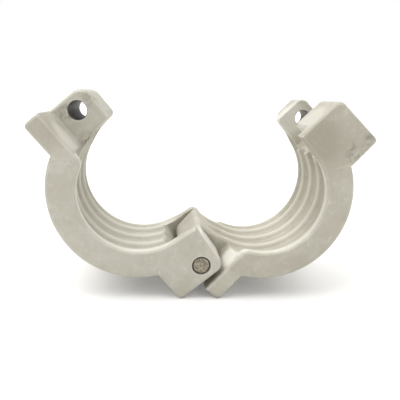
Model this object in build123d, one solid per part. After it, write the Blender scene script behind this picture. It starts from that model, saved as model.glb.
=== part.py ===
from build123d import *
import math
import os

# Hinged safety clamp for a 50 mm hose on its hose tail, standing open on its hinge lugs.
# Two castings of one pattern: each has a forked lug at one end and a tongue lug at the other.
# The tongue of the right half sits in the fork of the left half, on a steel pin.
# The bore runs along y with the collar side at -y, and the clamp rests on z = 0.

# overall, mm and degrees
clamp_width = 65.0            # length along the bore
opening_angle = 82.0          # between the parting planes, as the clamp stands

# bore, radii set by the hose
rib_radius = 29.9             # crests that grip the hose
rib_depth = 2.3               # from the crests to the groove floor
lip_hook = 3.5                # safety collar inside the crests, hooks behind the hose tail
mouth_crest_step = 0.7        # the last crest lies outside the others by this
mouth_flare = 5.6             # mouth at the hose end, outside the crests
mouth_side_flare = 7.1        # and between the lugs, where the mouth runs up their inner sides

# bore, lengths
lip_length = 3.9
lip_flank = 1.3
lip_round = 1.6               # rounding of the collar's front edge
collar_corner = 4.5           # rounding where the collar runs out on the recess floor
rib_count = 3
rib_pitch = 11.6
rib_half_base = 3.9
last_rib_gap = 8.6            # last rib to the crest at the root of the mouth
mouth_length = 10.8           # that crest to the hose end
rib_fade = 6.0                # lift of the relief above the bore, which runs the ribs out
relief_slant = 6.0            # degrees, inner sides of the lugs

# ring
ring_wall = 7.0               # outside the groove floor
outer_round = 2.4             # rounding of the outer edges
face_band = 8.4               # outer band in which the end faces lean back
face_lean = 0.35

# lugs, measured from the parting plane and the pin axis
pin_wall = 10.8               # groove floor to either pin axis
lug_overhang = 7.4            # past the pin axis
lug_drop = 17.9               # below the parting plane
shoulder_bite = 6.6           # the tongue lug starts inside the ring by this, at its lower side
cheek_bite = 0.2              # and the fork lug
cheek_root = 24.0             # bore axis to the fork lug's inner side, higher up
cheek_root_drop = 10.0
lug_corner = 2.2
lug_round = 1.9               # rounding of the front and rear edges of the lugs
recess_floor = 9.7            # below the parting plane
floor_fillet = 1.4

# fork
front_cheek = 19.2
rear_cheek = 15.6
cheek_rise = 7.9              # above the parting plane, at the outer end
cheek_slope = 3.0             # degrees, rising towards the bore
cheek_corner = 4.0            # corner that turns past the other half
cheek_inner_edge = 1.0

# tongue
tongue_play = 0.45            # each side, in the slot
tongue_rise = 9.2
tongue_corner = 6.0           # corner that turns past the other half
tongue_round = 2.0
tongue_inner_corner = 3.0

# pins
pin_diameter = 8.0
pin_inset = 0.35              # pin ends below the cheek faces
pin_end_edge = 0.5
pin_running_fit = 0.08        # radial, pin in the tongue
lock_hole_diameter = 8.3      # free holes for the locking pin
lock_hole_depth = 12.0        # blind, into the front cheek
hole_edge = 0.35

# rib from its foot to its crest, as shares of its half base and of its height
rib_shape = ((1.0, 0.0), (0.68, 0.2), (0.2, 0.9), (0.0, 1.0))
round_steps = 3               # flats that make up a long rounded edge

lip_radius = rib_radius - lip_hook
groove_radius = rib_radius + rib_depth
mouth_crest = rib_radius + mouth_crest_step
mouth_radius = rib_radius + mouth_flare
mouth_side_radius = rib_radius + mouth_side_flare
mouth_start = clamp_width - mouth_length
outer_radius = groove_radius + ring_wall
face_flat_radius = outer_radius - face_band
pin_pitch = groove_radius + pin_wall
lug_end = pin_pitch + lug_overhang
ring_foot = math.sqrt(outer_radius ** 2 - lug_drop ** 2)
shoulder_root = ring_foot - shoulder_bite
cheek_foot = ring_foot - cheek_bite
slot_start = front_cheek
slot_end = clamp_width - rear_cheek
tongue_start = slot_start + tongue_play
tongue_end = slot_end - tongue_play
half_angle = opening_angle / 2
pin_height = (
    (lug_overhang - lug_corner) * math.cos(math.radians(half_angle))
    + (lug_drop - lug_corner) * math.sin(math.radians(half_angle))
    + lug_corner
)
reach = 2 * outer_radius      # larger than any half, for cutting tools


def prism(face, start, end):
    """Solid from a face drawn in (u, v), between two distances from the collar face."""
    return extrude(Pos(0, start, 0) * (Plane.XZ * face), amount=end - start, dir=(0, 1, 0))


def edge_steps(radius):
    """Rounded edge in short flats, as pairs of the distance along and the distance across."""
    steps = []
    for index in range(round_steps + 1):
        angle = math.radians(90 * index / round_steps)
        steps.append((radius * (1 - math.cos(angle)), radius * (1 - math.sin(angle))))
    return steps


def ring_blank():
    """Half disc with rounded outer edges and end faces that lean back."""
    front = []
    rear = []
    for along, across in edge_steps(outer_round):
        front.append((outer_radius - across, face_lean + along))
        rear.append((outer_radius - across, clamp_width - face_lean - along))
    outline = [(0, 0), (face_flat_radius, 0)] + front + rear[::-1]
    outline += [(face_flat_radius, clamp_width), (0, clamp_width)]
    return revolve(make_face(Polyline(*outline, close=True)), Axis.Y, 180)


def side_at(radius, lift, height):
    """Bore axis to the leaning inner side of a lug, at a height above the parting plane."""
    slant = math.radians(relief_slant)
    foot = lift - radius * math.sin(slant)
    return radius * math.cos(slant) + (height - foot) * math.tan(slant)


def opening_face(radius, lift):
    """Bore arc that runs out into two sides leaning away from each other."""
    slant = math.radians(relief_slant)
    across = radius * math.cos(slant)
    foot = lift - radius * math.sin(slant)
    top = reach / 2
    wide = side_at(radius, lift, top)
    bottom = ThreePointArc((-across, foot), (0, lift - radius), (across, foot))
    sides = Polyline((across, foot), (wide, top), (-wide, top), (-across, foot))
    return make_face(bottom.edges() + sides.edges())


def opening_taper(start, start_radius, end, end_radius, lift):
    """Opening that grows or shrinks evenly between two distances from the collar face."""
    first = Pos(0, start, 0) * (Plane.XZ * opening_face(start_radius, lift))
    last = Pos(0, end, 0) * (Plane.XZ * opening_face(end_radius, lift))
    return loft([first, last], ruled=True)


def collar_opening(grow):
    """Opening of the collar, from the recess floor round a corner and the bore to the fork's side."""
    slant = math.radians(relief_slant)
    radius = lip_radius + grow
    floor = -recess_floor - grow
    across = radius * math.cos(slant)
    foot = -radius * math.sin(slant)
    top = reach / 2
    span = lip_radius + collar_corner
    rise = -recess_floor - collar_corner
    run = -math.sqrt(span ** 2 - rise ** 2)
    turn = (math.pi / 2 + math.atan2(-rise, -run)) / 2
    round_radius = collar_corner - grow
    middle = (run + round_radius * math.cos(turn), rise + round_radius * math.sin(turn))
    meet = (run * radius / span, rise * radius / span)
    corner = ThreePointArc((run, floor), middle, meet)
    bottom = ThreePointArc(meet, (0, -radius), (across, foot))
    sides = Polyline(
        (across, foot),
        (side_at(radius, 0, top), top),
        (-reach, top),
        (-reach, floor),
        (run, floor),
    )
    return make_face(corner.edges() + bottom.edges() + sides.edges())


def rounded_prism(draw, start, end, radius):
    """Solid between two distances, with both end edges rounded in flats.

    The outline comes from draw, which takes how far its free sides are moved in.
    """
    front = []
    rear = []
    for along, across in edge_steps(radius):
        front.append(Pos(0, start + along, 0) * (Plane.XZ * draw(across)))
        rear.append(Pos(0, end - along, 0) * (Plane.XZ * draw(across)))
    return loft(front + rear[::-1], ruled=True)


def fork_outline(inset):
    """Fork lug from the bore side, its top rising towards the bore."""
    slope = math.radians(cheek_slope)
    end = lug_end - inset
    low = -lug_drop + inset
    top = cheek_rise + inset * math.tan(slope) - inset / math.cos(slope)
    face = make_face(Polyline(
        (cheek_foot, low),
        (end, low),
        (end, top),
        (cheek_root, top + (end - cheek_root) * math.tan(slope)),
        (cheek_root, -cheek_root_drop),
        close=True,
    ))
    face = fillet(face.vertices().group_by(Axis.X)[-1].sort_by(Axis.Y)[0], lug_corner - inset)
    return fillet(face.vertices().group_by(Axis.X)[-1].sort_by(Axis.Y)[-1], cheek_corner - inset)


def shoulder_outline(inset):
    """Low lug that carries the tongue, up to the recess floors."""
    face = make_face(Polyline(
        (-shoulder_root, -lug_drop + inset),
        (inset - lug_end, -lug_drop + inset),
        (inset - lug_end, -recess_floor),
        (-shoulder_root, -recess_floor),
        close=True,
    ))
    return fillet(face.vertices().group_by(Axis.X)[0].sort_by(Axis.Y)[0], lug_corner - inset)


def tongue_outline(inset):
    """Tongue from below the recess floors to its top."""
    face = make_face(Polyline(
        (inset - lug_end, -(lug_drop + recess_floor) / 2),
        (inset - lug_end, tongue_rise - inset),
        (-shoulder_root, tongue_rise - inset),
        (-shoulder_root, -(lug_drop + recess_floor) / 2),
        close=True,
    ))
    return fillet(face.vertices().group_by(Axis.Y)[-1].sort_by(Axis.X)[0], tongue_corner - inset)


def tongue_block():
    """Tongue that stands above the recess floors, its inner side leaning like the bore's."""
    root = -(lug_drop + recess_floor) / 2
    foot = rib_fade - groove_radius * math.sin(math.radians(relief_slant))
    inner = make_face(Polyline(
        (-lug_end - 1, root - 1),
        (-lug_end - 1, tongue_rise),
        (-side_at(groove_radius, rib_fade, tongue_rise), tongue_rise),
        (-side_at(groove_radius, rib_fade, foot), foot),
        (1 - shoulder_root, foot),
        (1 - shoulder_root, root - 1),
        close=True,
    ))
    corner = inner.vertices().group_by(Axis.Y)[-1].sort_by(Axis.X)[-1]
    trim = prism(fillet(corner, tongue_inner_corner), tongue_start - 1, tongue_end + 1)
    return rounded_prism(tongue_outline, tongue_start, tongue_end, tongue_round) & trim


def foot_fillet(start, end, place, way):
    """Hollow rounding where an upright face at a distance from the collar face meets a floor."""
    middle = (start + end) / 2
    length = end - start
    corner = Pos(middle, place + way * floor_fillet / 2, floor_fillet / 2 - recess_floor)
    hollow = Pos(middle, place + way * floor_fillet, floor_fillet - recess_floor) * Rot(0, 90, 0)
    return corner * Box(length, floor_fillet, floor_fillet) - hollow * Cylinder(floor_fillet, length)


def tongue_side_round(place, way):
    """Rounds the tongue's inner side into one of its upright faces, above the recess floor."""
    radius = groove_radius + tongue_round
    start, end = sorted((place, place - way * 2 * floor_fillet))
    cutter = prism(opening_face(radius, rib_fade), start, end)
    steps = edge_steps(tongue_round)
    for (along, across), (next_along, next_across) in zip(steps, steps[1:]):
        cutter += opening_taper(
            place + way * along, groove_radius + across,
            place + way * next_along, groove_radius + next_across,
            rib_fade,
        )
    above = Box(reach, 10 * tongue_round, reach)
    return cutter & (Pos(-reach / 2, place, reach / 2 - recess_floor) * above)


def bore_tool():
    """Turned shape of the bore: collar lip, groove, gripping ribs and the wide mouth."""
    points = [
        (0, 0),
        (lip_radius, 0),
        (lip_radius, lip_length),
        (groove_radius, lip_length + lip_flank),
    ]
    for index in range(rib_count):
        place = mouth_start - last_rib_gap - (rib_count - 1 - index) * rib_pitch
        for base, height in rib_shape:
            points.append((groove_radius - height * rib_depth, place - base * rib_half_base))
        for base, height in rib_shape[-2::-1]:
            points.append((groove_radius - height * rib_depth, place + base * rib_half_base))
    for base, height in rib_shape:
        step = height * (groove_radius - mouth_crest)
        points.append((groove_radius - step, mouth_start - base * rib_half_base))
    points += [
        (mouth_radius, clamp_width),
        (0, clamp_width),
    ]
    return revolve(make_face(Polyline(*points, close=True)), Axis.Y, 360)


def hole(place, radius, start, end):
    """Drill along the bore direction, between two distances from the collar face."""
    return Pos(place, (start + end) / 2, 0) * Rot(90, 0, 0) * Cylinder(radius, end - start)


def countersink(place, radius, face_place, way):
    """Cone that breaks the edge of a hole in an upright face, opening towards the face."""
    turn = Rot(-90 * way, 0, 0)
    cone = Cone(radius + hole_edge, radius, hole_edge)
    return Pos(place, face_place + way * hole_edge / 2, 0) * turn * cone


def casting():
    """One rough casting in its own frame: bore axis along y, fork at +x and tongue at -x."""
    body = ring_blank() + rounded_prism(fork_outline, 0, clamp_width, lug_round)
    for start, end in ((-1, tongue_start), (tongue_end, clamp_width + 1)):
        above = Box(reach, end - start, reach)
        body -= Pos(-reach / 2, (start + end) / 2, reach / 2 - recess_floor) * above
    body += rounded_prism(shoulder_outline, 0, clamp_width, lug_round)
    slot = Box(reach, slot_end - slot_start, reach)
    body -= Pos(reach / 2, (slot_start + slot_end) / 2, reach / 2 - recess_floor) * slot
    body += foot_fillet(shoulder_root, lug_end, slot_start, 1)
    body += foot_fillet(shoulder_root, lug_end, slot_end, -1)
    body += foot_fillet(tongue_round - lug_end, -shoulder_root, tongue_start, -1)
    body += foot_fillet(tongue_round - lug_end, -shoulder_root, tongue_end, 1)
    body += tongue_block()
    body -= tongue_side_round(tongue_start, 1)
    body -= tongue_side_round(tongue_end, -1)
    steps = edge_steps(lip_round)
    for (along, across), (next_along, next_across) in zip(steps, steps[1:]):
        first = Pos(0, along, 0) * (Plane.XZ * collar_opening(across))
        last = Pos(0, next_along, 0) * (Plane.XZ * collar_opening(next_across))
        body -= loft([first, last], ruled=True)
    body -= prism(collar_opening(0), lip_round, lip_length + lip_flank)
    body -= prism(opening_face(lip_radius, 0), 0, clamp_width + 1)
    body -= prism(opening_face(groove_radius, rib_fade), lip_length, clamp_width + 1)
    body -= opening_taper(mouth_start, groove_radius, clamp_width, mouth_side_radius, rib_fade)
    body -= bore_tool()
    inner = []
    for edge in body.edges():
        centre = edge.center()
        along = abs((edge @ 1 - edge @ 0).Y) > 1
        if along and centre.Z > cheek_rise and groove_radius < centre.X < pin_pitch:
            inner.append(edge)
    return chamfer(inner, cheek_inner_edge)


def stand(shape, pin_side):
    """Turn a half about the hinge pin into the standing pose."""
    turn = pin_side * (90 - half_angle)
    at_pin = Pos(-pin_side * pin_pitch, -clamp_width / 2, 0) * shape
    return Pos(0, 0, pin_height) * Rot(0, turn, 0) * at_pin


rough = casting()
pin_radius = pin_diameter / 2
lock_radius = lock_hole_diameter / 2
tongue_bore = pin_radius + pin_running_fit

left = rough - hole(pin_pitch, pin_radius, -1, clamp_width + 1)
left -= countersink(pin_pitch, pin_radius, 0, 1)
left -= countersink(pin_pitch, pin_radius, clamp_width, -1)
left -= hole(-pin_pitch, lock_radius, tongue_start - 1, tongue_end + 1)
left -= countersink(-pin_pitch, lock_radius, tongue_start, 1)
left -= countersink(-pin_pitch, lock_radius, tongue_end, -1)

right = rough - hole(-pin_pitch, tongue_bore, tongue_start - 1, tongue_end + 1)
right -= hole(pin_pitch, lock_radius, slot_start - lock_hole_depth, clamp_width + 1)
right -= countersink(pin_pitch, lock_radius, clamp_width, -1)

pin = hole(0, pin_radius, pin_inset, clamp_width - pin_inset)
pin = chamfer(pin.edges(), pin_end_edge)

os.makedirs("parts", exist_ok=True)
export_step(stand(left, 1), "parts/left_half_shell.step")
export_step(stand(right, -1), "parts/right_half_shell.step")
export_step(Pos(0, -clamp_width / 2, pin_height) * pin, "parts/hinge_pin.step")
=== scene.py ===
import math

import bpy
from mathutils import Matrix, Vector

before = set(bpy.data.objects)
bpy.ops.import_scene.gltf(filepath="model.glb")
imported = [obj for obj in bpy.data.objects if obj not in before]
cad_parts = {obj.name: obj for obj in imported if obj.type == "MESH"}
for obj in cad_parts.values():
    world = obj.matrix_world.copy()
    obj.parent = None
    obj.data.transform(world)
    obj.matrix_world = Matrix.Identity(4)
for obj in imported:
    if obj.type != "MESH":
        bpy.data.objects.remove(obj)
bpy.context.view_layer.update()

scene = bpy.context.scene

# Places on the part, in metres. Axes run along y and are given as (x, z).
LEFT_BORE_AXIS = (-0.02821, 0.048877)
RIGHT_BORE_AXIS = (0.02821, 0.048877)
LEFT_LOCK_AXIS = (-0.05642, 0.08133)
RIGHT_LOCK_AXIS = (0.05642, 0.08133)
PIN_AXIS = (0.0, 0.016425)
CREST_REACH = 0.0312
GROOVE_REACH = 0.0330

# Tints of the casting, including painted highlights, painted light and painted shade.
LEFT_DULL = (0.472, 0.450, 0.378)
LEFT_PALE = (0.528, 0.509, 0.437)
RIGHT_DULL = (0.436, 0.409, 0.333)
RIGHT_PALE = (0.503, 0.479, 0.403)
BLOTCH_DARK = (0.44, 0.405, 0.325)
BLOTCH_LIGHT = (0.60, 0.585, 0.51)
STREAK = (0.40, 0.365, 0.285)
GRAIN = (0.30, 0.275, 0.22)
WARM = (0.520, 0.462, 0.385)
GROOVE_SHADE = (0.36, 0.33, 0.265)
CREST_HIGHLIGHT = (0.72, 0.71, 0.64)
SHADE = (0.315, 0.280, 0.212)
RUB_AND_PAINTED_LIGHT = (0.76, 0.745, 0.675)
EDGE_WEAR_AND_HIGHLIGHT = (0.79, 0.78, 0.72)
DIRT_AND_PAINTED_SHADE = (0.20, 0.175, 0.13)
SPECK = (0.24, 0.215, 0.165)
STAIN = (0.17, 0.155, 0.13)
HOLE_SHADE_AND_GRIME = (0.075, 0.066, 0.05)

# Darker patches: centre, size, strength.
LEFT_TONES = (
    ((-0.0680, -0.0325, 0.0740), 0.0150, 0.40),
)
RIGHT_TONES = (
    ((0.0490, -0.0325, 0.0735), 0.0175, 0.70),
)
# Pale places, partly rubbed wear and partly painted light: centre, size, strength, also on faces that
# look along the bore.
LEFT_RUBS_AND_PAINTED_LIGHT = (
    ((-0.0600, -0.0220, 0.0700), 0.0110, 0.50, False),
    ((-0.0130, 0.0240, 0.0185), 0.0095, 0.70, False),
    ((0.0055, -0.0250, 0.0260), 0.0125, 0.65, False),
)
RIGHT_RUBS_AND_PAINTED_LIGHT = (
    ((0.0130, -0.0240, 0.0185), 0.0100, 0.90, False),
    ((0.0450, -0.0235, 0.0825), 0.0120, 0.46, False),
    # painted light on the rear cheek's front face, which the front cheek shades
    ((0.0475, 0.0169, 0.0810), 0.0140, 0.75, True),
)
# Dark smears: centre, size, strength.
LEFT_STAINS = (
    ((-0.0500, -0.0125, 0.0870), 0.0060, 0.55),
    ((-0.0395, -0.0125, 0.0760), 0.0065, 0.90),
    ((-0.0520, -0.0130, 0.0680), 0.0060, 0.80),
    ((-0.0615, -0.0130, 0.0800), 0.0050, 0.90),
)
RIGHT_STAINS = (
    ((0.0650, -0.0325, 0.0700), 0.0072, 0.62),
    ((0.0700, -0.0325, 0.0755), 0.0045, 0.60),
    ((0.0555, -0.0070, 0.0655), 0.0110, 0.55),
)
# Hole walls darkened with painted shade and grime: axis, reach from the axis, start along y,
# strength.
LEFT_HOLES = (
    (LEFT_LOCK_AXIS, 0.0046, -0.014, 0.93),
    (PIN_AXIS, 0.0045, -0.040, 0.85),
)
RIGHT_HOLES = (
    (RIGHT_LOCK_AXIS, 0.0046, -0.026, 0.62),
    (PIN_AXIS, 0.0045, -0.040, 0.75),
)


class Nodes:
    """Adds and links the nodes of one tree."""

    def __init__(self, tree):
        self.tree = tree
        tree.nodes.clear()

    def add(self, kind, **settings):
        node = self.tree.nodes.new(kind)
        for key, value in settings.items():
            setattr(node, key, value)
        return node

    def set(self, node, name, value):
        """Puts a number, a colour or another node's output on an input."""
        socket = node.inputs[name]
        if isinstance(value, bpy.types.NodeSocket):
            self.tree.links.new(value, socket)
        else:
            socket.default_value = value

    def math(self, operation, first, second=0.0, clamp=False):
        node = self.add("ShaderNodeMath", operation=operation, use_clamp=clamp)
        self.set(node, 0, first)
        self.set(node, 1, second)
        return node.outputs[0]

    def times(self, first, second):
        return self.math("MULTIPLY", first, second)

    def size(self, value):
        return self.math("ABSOLUTE", value)

    def split(self, vector):
        """The three parts of a vector, by name."""
        node = self.add("ShaderNodeSeparateXYZ")
        self.set(node, 0, vector)
        return node.outputs

    def noise(self, place, scale, detail=3.0, roughness=0.5, distortion=0.0):
        node = self.add("ShaderNodeTexNoise")
        self.set(node, "Vector", place)
        self.set(node, "Scale", scale)
        self.set(node, "Detail", detail)
        self.set(node, "Roughness", roughness)
        self.set(node, "Distortion", distortion)
        return node.outputs["Fac"]

    def ramp(self, value, low, high):
        """Smooth step from 0 at low to 1 at high."""
        node = self.add("ShaderNodeMapRange", interpolation_type="SMOOTHSTEP")
        self.set(node, "Value", value)
        self.set(node, "From Min", low)
        self.set(node, "From Max", high)
        return node.outputs["Result"]

    def mix(self, share, first, second):
        node = self.add("ShaderNodeMix", data_type="RGBA")
        self.set(node, 0, share)
        for index, colour in ((6, first), (7, second)):
            if not isinstance(colour, bpy.types.NodeSocket):
                colour = (*colour, 1.0)
            self.set(node, index, colour)
        return node.outputs[2]

    def paint(self, colour, mask, strength, tint):
        """Lays a tint over a colour where a mask is 1."""
        return self.mix(self.times(mask, strength), colour, tint)

    def stretched(self, place, scale):
        node = self.add("ShaderNodeMapping")
        self.set(node, "Vector", place)
        self.set(node, "Scale", scale)
        return node.outputs[0]

    def spot(self, place, centre, reach, soft):
        """1 near a point of the part, falling to 0 at its reach."""
        node = self.add("ShaderNodeVectorMath", operation="DISTANCE")
        self.set(node, 0, place)
        self.set(node, 1, centre)
        return self.ramp(node.outputs["Value"], reach, reach * soft)

    def rod(self, place, axis, reach, soft):
        """1 near an axis along y, falling to 0 at its reach."""
        flat = self.stretched(place, (1.0, 0.0, 1.0))
        return self.spot(flat, (axis[0], 0.0, axis[1]), reach, soft)

    def edges(self, radius, low, high):
        """1 along convex and concave edges, from the turned normal of a bevel."""
        bevel = self.add("ShaderNodeBevel", samples=6)
        self.set(bevel, "Radius", radius)
        face = self.add("ShaderNodeNewGeometry")
        dot = self.add("ShaderNodeVectorMath", operation="DOT_PRODUCT")
        self.set(dot, 0, bevel.outputs[0])
        self.set(dot, 1, face.outputs["Normal"])
        return self.ramp(self.math("SUBTRACT", 1.0, dot.outputs["Value"]), low, high)

    def hollows(self, distance, low, high):
        """1 in corners and gaps, 0 in the open."""
        node = self.add("ShaderNodeAmbientOcclusion", samples=8)
        self.set(node, "Distance", distance)
        return self.math("SUBTRACT", 1.0, self.ramp(node.outputs["AO"], low, high))

    def bump(self, height, strength, distance, normal=None):
        node = self.add("ShaderNodeBump")
        self.set(node, "Height", height)
        self.set(node, "Strength", strength)
        self.set(node, "Distance", distance)
        if normal is not None:
            self.set(node, "Normal", normal)
        return node.outputs[0]

    def principled(self, colour, roughness, metallic, normal):
        shader = self.add("ShaderNodeBsdfPrincipled")
        self.set(shader, "Base Color", colour)
        self.set(shader, "Roughness", roughness)
        self.set(shader, "Metallic", metallic)
        self.set(shader, "Normal", normal)
        output = self.add("ShaderNodeOutputMaterial")
        self.set(output, "Surface", shader.outputs[0])


def material(name):
    made = bpy.data.materials.new(name)
    made.use_nodes = True
    return made, Nodes(made.node_tree)


def casting(name, dull, pale, bore_axis, tones, rubs_and_painted_light, stains, holes):
    """Blasted light metal casting, mottled between two tints and marked by use, with painted
    highlights, painted light and painted shade.
    """
    made, n = material(name)
    where = n.add("ShaderNodeTexCoord")
    place = where.outputs["Object"]
    clouds = n.noise(place, 75.0, 4.0, 0.55, 0.4)
    blotches = n.noise(place, 330.0, 4.0, 0.6, 0.8)
    grain = n.noise(place, 2600.0, 2.0, 0.6)
    streaks = n.noise(n.stretched(place, (420.0, 420.0, 60.0)), 1.0, 3.0, 0.6)
    warmth = n.noise(place, 120.0, 3.0, 0.6, 1.2)
    broken = n.ramp(blotches, 0.20, 0.42)

    # mottled skin
    colour = n.mix(n.ramp(clouds, 0.34, 0.66), dull, pale)
    colour = n.paint(colour, n.ramp(blotches, 0.50, 0.74), 0.50, BLOTCH_DARK)
    colour = n.paint(colour, n.ramp(blotches, 0.46, 0.28), 0.58, BLOTCH_LIGHT)
    colour = n.paint(colour, n.ramp(streaks, 0.55, 0.78), 0.22, STREAK)
    colour = n.paint(colour, n.ramp(grain, 0.56, 0.72), 0.16, GRAIN)
    colour = n.paint(colour, n.ramp(warmth, 0.50, 0.68), 0.22, WARM)

    # painted highlight on the rib crests and painted shade in the grooves, clear of the hinge, the
    # free lugs and the end faces
    along = n.split(place)
    inside = n.ramp(n.size(along["Y"]), 0.0318, 0.0310)
    clear = n.times(n.ramp(n.size(along["X"]), 0.009, 0.016), n.ramp(along["Z"], 0.074, 0.066))
    bed = n.times(n.rod(place, bore_axis, GROOVE_REACH, 0.99), inside)
    crest_highlight = n.times(n.rod(place, bore_axis, CREST_REACH, 0.968), inside)
    crest_highlight = n.times(n.times(crest_highlight, clear), broken)
    groove_shade = n.times(n.math("SUBTRACT", bed, crest_highlight, clamp=True), clear)
    colour = n.paint(colour, groove_shade, 0.20, GROOVE_SHADE)
    colour = n.paint(colour, crest_highlight, 0.55, CREST_HIGHLIGHT)

    # darker patches
    for centre, reach, strength in tones:
        tone = n.times(n.spot(place, centre, reach, 0.25), n.ramp(clouds, 0.15, 0.55))
        colour = n.paint(colour, tone, strength, SHADE)

    # pale patches: faces rubbed by the turning lugs and by handling, and painted light on faces that
    # the lighting leaves darker
    across = n.ramp(n.size(n.split(where.outputs["Normal"])["Y"]), 0.80, 0.30)
    for centre, reach, strength, everywhere in rubs_and_painted_light:
        rub_and_painted_light = n.times(n.spot(place, centre, reach, 0.45), n.ramp(blotches, 0.10, 0.45))
        if not everywhere:
            rub_and_painted_light = n.times(rub_and_painted_light, across)
        colour = n.paint(colour, rub_and_painted_light, strength, RUB_AND_PAINTED_LIGHT)

    # bright edges: wear together with a painted highlight along the rounded edges, broken up by the
    # blotches and faint on the ribs
    wear_and_highlight = n.times(n.edges(0.0015, 0.012, 0.13), broken)
    wear_and_highlight = n.times(wear_and_highlight, n.math("SUBTRACT", 1.0, n.times(bed, 0.75)))
    colour = n.paint(colour, wear_and_highlight, 0.75, EDGE_WEAR_AND_HIGHLIGHT)

    # dirt and painted shade in corners and gaps, from ambient occlusion
    dirt_and_shade = n.times(n.hollows(0.0035, 0.25, 0.80), n.ramp(n.noise(place, 260.0, 3.0, 0.6), 0.25, 0.62))
    colour = n.paint(colour, dirt_and_shade, 0.55, DIRT_AND_PAINTED_SHADE)

    # sparse dark specks
    pits = n.add("ShaderNodeTexVoronoi")
    n.set(pits, "Vector", place)
    n.set(pits, "Scale", 330.0)
    speck = n.times(n.ramp(pits.outputs["Distance"], 0.17, 0.05), n.ramp(clouds, 0.50, 0.60))
    colour = n.paint(colour, speck, 0.26, SPECK)

    # smears on the lugs
    smudges = n.ramp(n.noise(place, 300.0, 5.0, 0.7, 0.8), 0.40, 0.62)
    smears = 0.0
    for centre, reach, strength in stains:
        smear = n.times(n.times(n.spot(place, centre, reach, 0.15), smudges), strength)
        smears = n.math("MAXIMUM", smears, smear)
    colour = n.mix(smears, colour, STAIN)

    # hole walls darkened with painted shade, and grime at their rims
    for axis, reach, start, strength in holes:
        wall = n.times(n.rod(place, axis, reach, 0.92), n.ramp(along["Y"], start, start + 0.0004))
        colour = n.paint(colour, wall, strength, HOLE_SHADE_AND_GRIME)

    rough = n.math("ADD", n.times(grain, 0.22), 0.40)
    rough = n.math("SUBTRACT", rough, n.times(wear_and_highlight, 0.10))
    normal = n.bump(clouds, 0.30, 0.0010)
    normal = n.bump(blotches, 0.22, 0.00030, normal)
    normal = n.bump(grain, 0.30, 0.00007, normal)
    n.principled(colour, rough, 0.12, normal)
    return made


def pin_steel():
    """Dull steel, crinkled, darkened at its rim by dirt and painted shade, with pale edges of wear
    and painted highlight.
    """
    made, n = material("pin_steel")
    place = n.add("ShaderNodeTexCoord").outputs["Object"]
    patches = n.noise(place, 520.0, 4.0, 0.65, 1.0)
    grain = n.noise(place, 3000.0, 2.0, 0.6)
    lines = n.noise(n.stretched(place, (900.0, 40.0, 900.0)), 1.0, 3.0, 0.6)
    colour = n.mix(n.ramp(patches, 0.40, 0.62), (0.20, 0.17, 0.125), (0.40, 0.365, 0.285))
    colour = n.paint(colour, n.ramp(lines, 0.50, 0.70), 0.35, (0.13, 0.11, 0.08))
    # pale edges: wear together with a painted highlight
    colour = n.paint(colour, n.edges(0.0006, 0.03, 0.25), 0.35, (0.50, 0.46, 0.38))
    # painted shade and dirt in the hollows at the pin's rim
    colour = n.paint(colour, n.hollows(0.0016, 0.35, 0.95), 0.85, (0.045, 0.038, 0.028))
    rough = n.math("ADD", n.times(grain, 0.25), 0.36)
    normal = n.bump(patches, 0.8, 0.0005)
    normal = n.bump(grain, 0.4, 0.0001, normal)
    n.principled(colour, rough, 0.55, normal)
    return made


def white_floor():
    """Pale floor that the camera sees a little brighter, with the part's shadow on it."""
    bpy.ops.mesh.primitive_plane_add(size=30.0, location=(0, 0, 0))
    floor = bpy.context.object
    floor.name = "floor"
    paper, n = material("paper")
    diffuse = n.add("ShaderNodeBsdfDiffuse")
    n.set(diffuse, "Color", (0.86, 0.86, 0.855, 1))
    glow = n.add("ShaderNodeEmission")
    path = n.add("ShaderNodeLightPath")
    n.set(glow, "Strength", n.times(path.outputs["Is Camera Ray"], 0.16))
    both = n.add("ShaderNodeAddShader")
    n.set(both, 0, diffuse.outputs[0])
    n.set(both, 1, glow.outputs[0])
    output = n.add("ShaderNodeOutputMaterial")
    n.set(output, "Surface", both.outputs[0])
    floor.data.materials.append(paper)
    return floor


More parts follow.
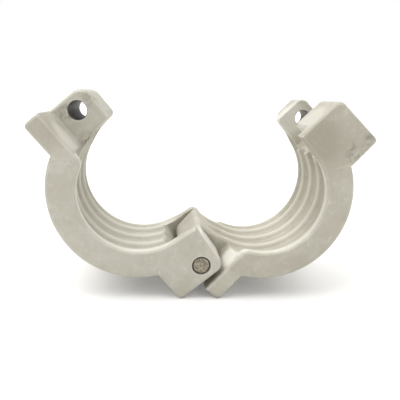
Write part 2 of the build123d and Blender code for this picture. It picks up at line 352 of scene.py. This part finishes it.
def studio():
    """Even light from all round, seen as white by the camera and in part by gloss."""
    world = bpy.data.worlds.new("studio")
    scene.world = world
    world.use_nodes = True
    n = Nodes(world.node_tree)
    path = n.add("ShaderNodeLightPath")
    seen = n.math("MAXIMUM", path.outputs["Is Camera Ray"], path.outputs["Is Transmission Ray"])
    seen = n.math("MAXIMUM", seen, n.times(path.outputs["Is Glossy Ray"], 0.35))
    strength = n.add("ShaderNodeMix", data_type="FLOAT")
    n.set(strength, 0, seen)
    n.set(strength, 2, 0.50)
    n.set(strength, 3, 1.0)
    background = n.add("ShaderNodeBackground")
    n.set(background, "Color", (1, 1, 1, 1))
    n.set(background, "Strength", strength.outputs[0])
    output = n.add("ShaderNodeOutputWorld")
    n.set(output, "Surface", background.outputs[0])


def sun(name, toward, strength):
    """Soft light from far away, coming from a direction."""
    data = bpy.data.lights.new(name, "SUN")
    data.angle = math.radians(50.0)
    data.energy = strength
    data.color = (1.0, 0.997, 0.99)
    lamp = bpy.data.objects.new(name, data)
    scene.collection.objects.link(lamp)
    lamp.rotation_euler = Vector(toward).to_track_quat("Z", "Y").to_euler()


def photo_camera():
    """Camera at the photo's place, from a fit to the part's corners in it."""
    data = bpy.data.cameras.new("camera")
    data.sensor_fit = "HORIZONTAL"
    data.sensor_width = 36.0
    data.lens = 37.691
    camera = bpy.data.objects.new("camera", data)
    scene.collection.objects.link(camera)
    right = Vector((0.99419, -0.09572, 0.04924))
    up = Vector((-0.02429, 0.24610, 0.96893))
    back = Vector((-0.10487, -0.96450, 0.24235))
    turn = Matrix((right, up, back)).transposed().to_4x4()
    camera.matrix_world = Matrix.Translation((-0.021013, -0.206174, 0.090439)) @ turn
    scene.camera = camera


photo_camera()
scene.view_settings.view_transform = "Standard"

chosen = {
    "left_half_shell": casting("casting_left", LEFT_DULL, LEFT_PALE, LEFT_BORE_AXIS,
                               LEFT_TONES, LEFT_RUBS_AND_PAINTED_LIGHT, LEFT_STAINS, LEFT_HOLES),
    "right_half_shell": casting("casting_right", RIGHT_DULL, RIGHT_PALE, RIGHT_BORE_AXIS,
                                RIGHT_TONES, RIGHT_RUBS_AND_PAINTED_LIGHT, RIGHT_STAINS, RIGHT_HOLES),
    "hinge_pin": pin_steel(),
}
for name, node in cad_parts.items():
    node.data.materials.clear()
    node.data.materials.append(chosen[name])

floor = white_floor()

studio()
sun("left_light", (-0.6, -0.1, 1.0), 1.72)
sun("right_light", (0.5, -0.1, 1.0), 1.05)
sun("back_light", (-0.12, 0.6, 1.0), 1.08)
